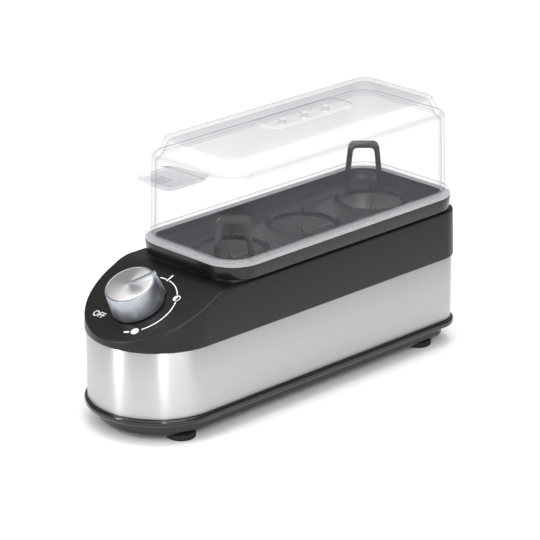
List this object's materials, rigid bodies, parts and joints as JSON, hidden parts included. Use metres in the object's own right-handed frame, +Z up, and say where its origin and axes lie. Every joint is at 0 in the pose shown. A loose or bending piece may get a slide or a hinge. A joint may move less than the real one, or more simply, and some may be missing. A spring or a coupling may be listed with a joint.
{
  "type": "egg cooker",
  "caption": "Slim electric egg steamer: brushed steel band, sloping panel with rotary knob, lift-out egg tray and clear chamfered lid with a front tab.",
  "frame": {"origin": "centre of the overall box, on the plane the feet stand on", "axes": "+Z up, +Y from the control nose to the rear where the cord enters, +X across the width"},
  "size_m": [0.0778, 0.2318, 0.1425],
  "materials": {
    "black_casing": "satin moulded, charcoal black",
    "band_steel": "brushed along its length",
    "gloss_black": "polished moulding",
    "foot_rubber": "matt",
    "plated_steel": "zinc plated",
    "gland_plastic": "fine texture",
    "dish_steel": "pressed, satin",
    "silicone": "translucent grey",
    "plate_aluminium": "as cast",
    "element_sheath": "heat-dulled",
    "pin_brass": "bare",
    "phenolic": "moulded",
    "regulator_plastic": "moulded",
    "knob_silver": "metallised, satin",
    "knob_aluminium": "spun",
    "terminal_plastic": "moulded",
    "wire_brown": "sleeving",
    "wire_red": "sleeving",
    "wire_blue": "sleeving",
    "tray_black": "satin moulded",
    "clear_plastic": "crystal clear"
  },
  "bodies": {
    "base": {"housing": "black_casing", "steel_band": "band_steel", "base_pan": "gloss_black", "foot_front_right": "foot_rubber", "foot_front_left": "foot_rubber", "foot_rear_right": "foot_rubber", "foot_rear_left": "foot_rubber", "base_screws": "plated_steel", "cord_gland": "gland_plastic", "heating_dish": "dish_steel", "dish_gasket": "silicone", "dish_clips": "plated_steel", "heat_plate": "plate_aluminium", "heating_element": "element_sheath", "element_pins": "pin_brass", "thermal_fuse": "plate_aluminium", "thermostat": "phenolic", "power_regulator": "regulator_plastic", "regulator_nut": "plated_steel", "buzzer": "phenolic", "terminal_block": "terminal_plastic", "terminal_screws": "pin_brass", "wire_supply": "wire_brown", "wire_switched": "wire_red", "wire_return": "wire_blue"},
    "knob": {"knob_body": "knob_silver", "knob_cap": "knob_aluminium", "knob_pointer": "knob_silver", "regulator_shaft": "plated_steel"},
    "tray": {"egg_tray": "tray_black", "tray_handle_front": "tray_black", "tray_handle_rear": "tray_black"},
    "lid": {"lid": "clear_plastic"}
  },
  "joints": [
    {"name": "knob_turn", "type": "hinge", "parent": "base", "child": "knob", "pos_m": [0, -0.09044, 0.06647], "axis": [0, -0.4242, 0.9056], "range_deg": [-105, 165]},
    {"name": "tray_lift", "type": "slide", "parent": "base", "child": "tray", "axis": [0, 0, 1], "range_m": [0, 0.12]},
    {"name": "lid_lift", "type": "slide", "parent": "tray", "child": "lid", "axis": [0, 0, 1], "range_m": [0, 0.1]}
  ]
}
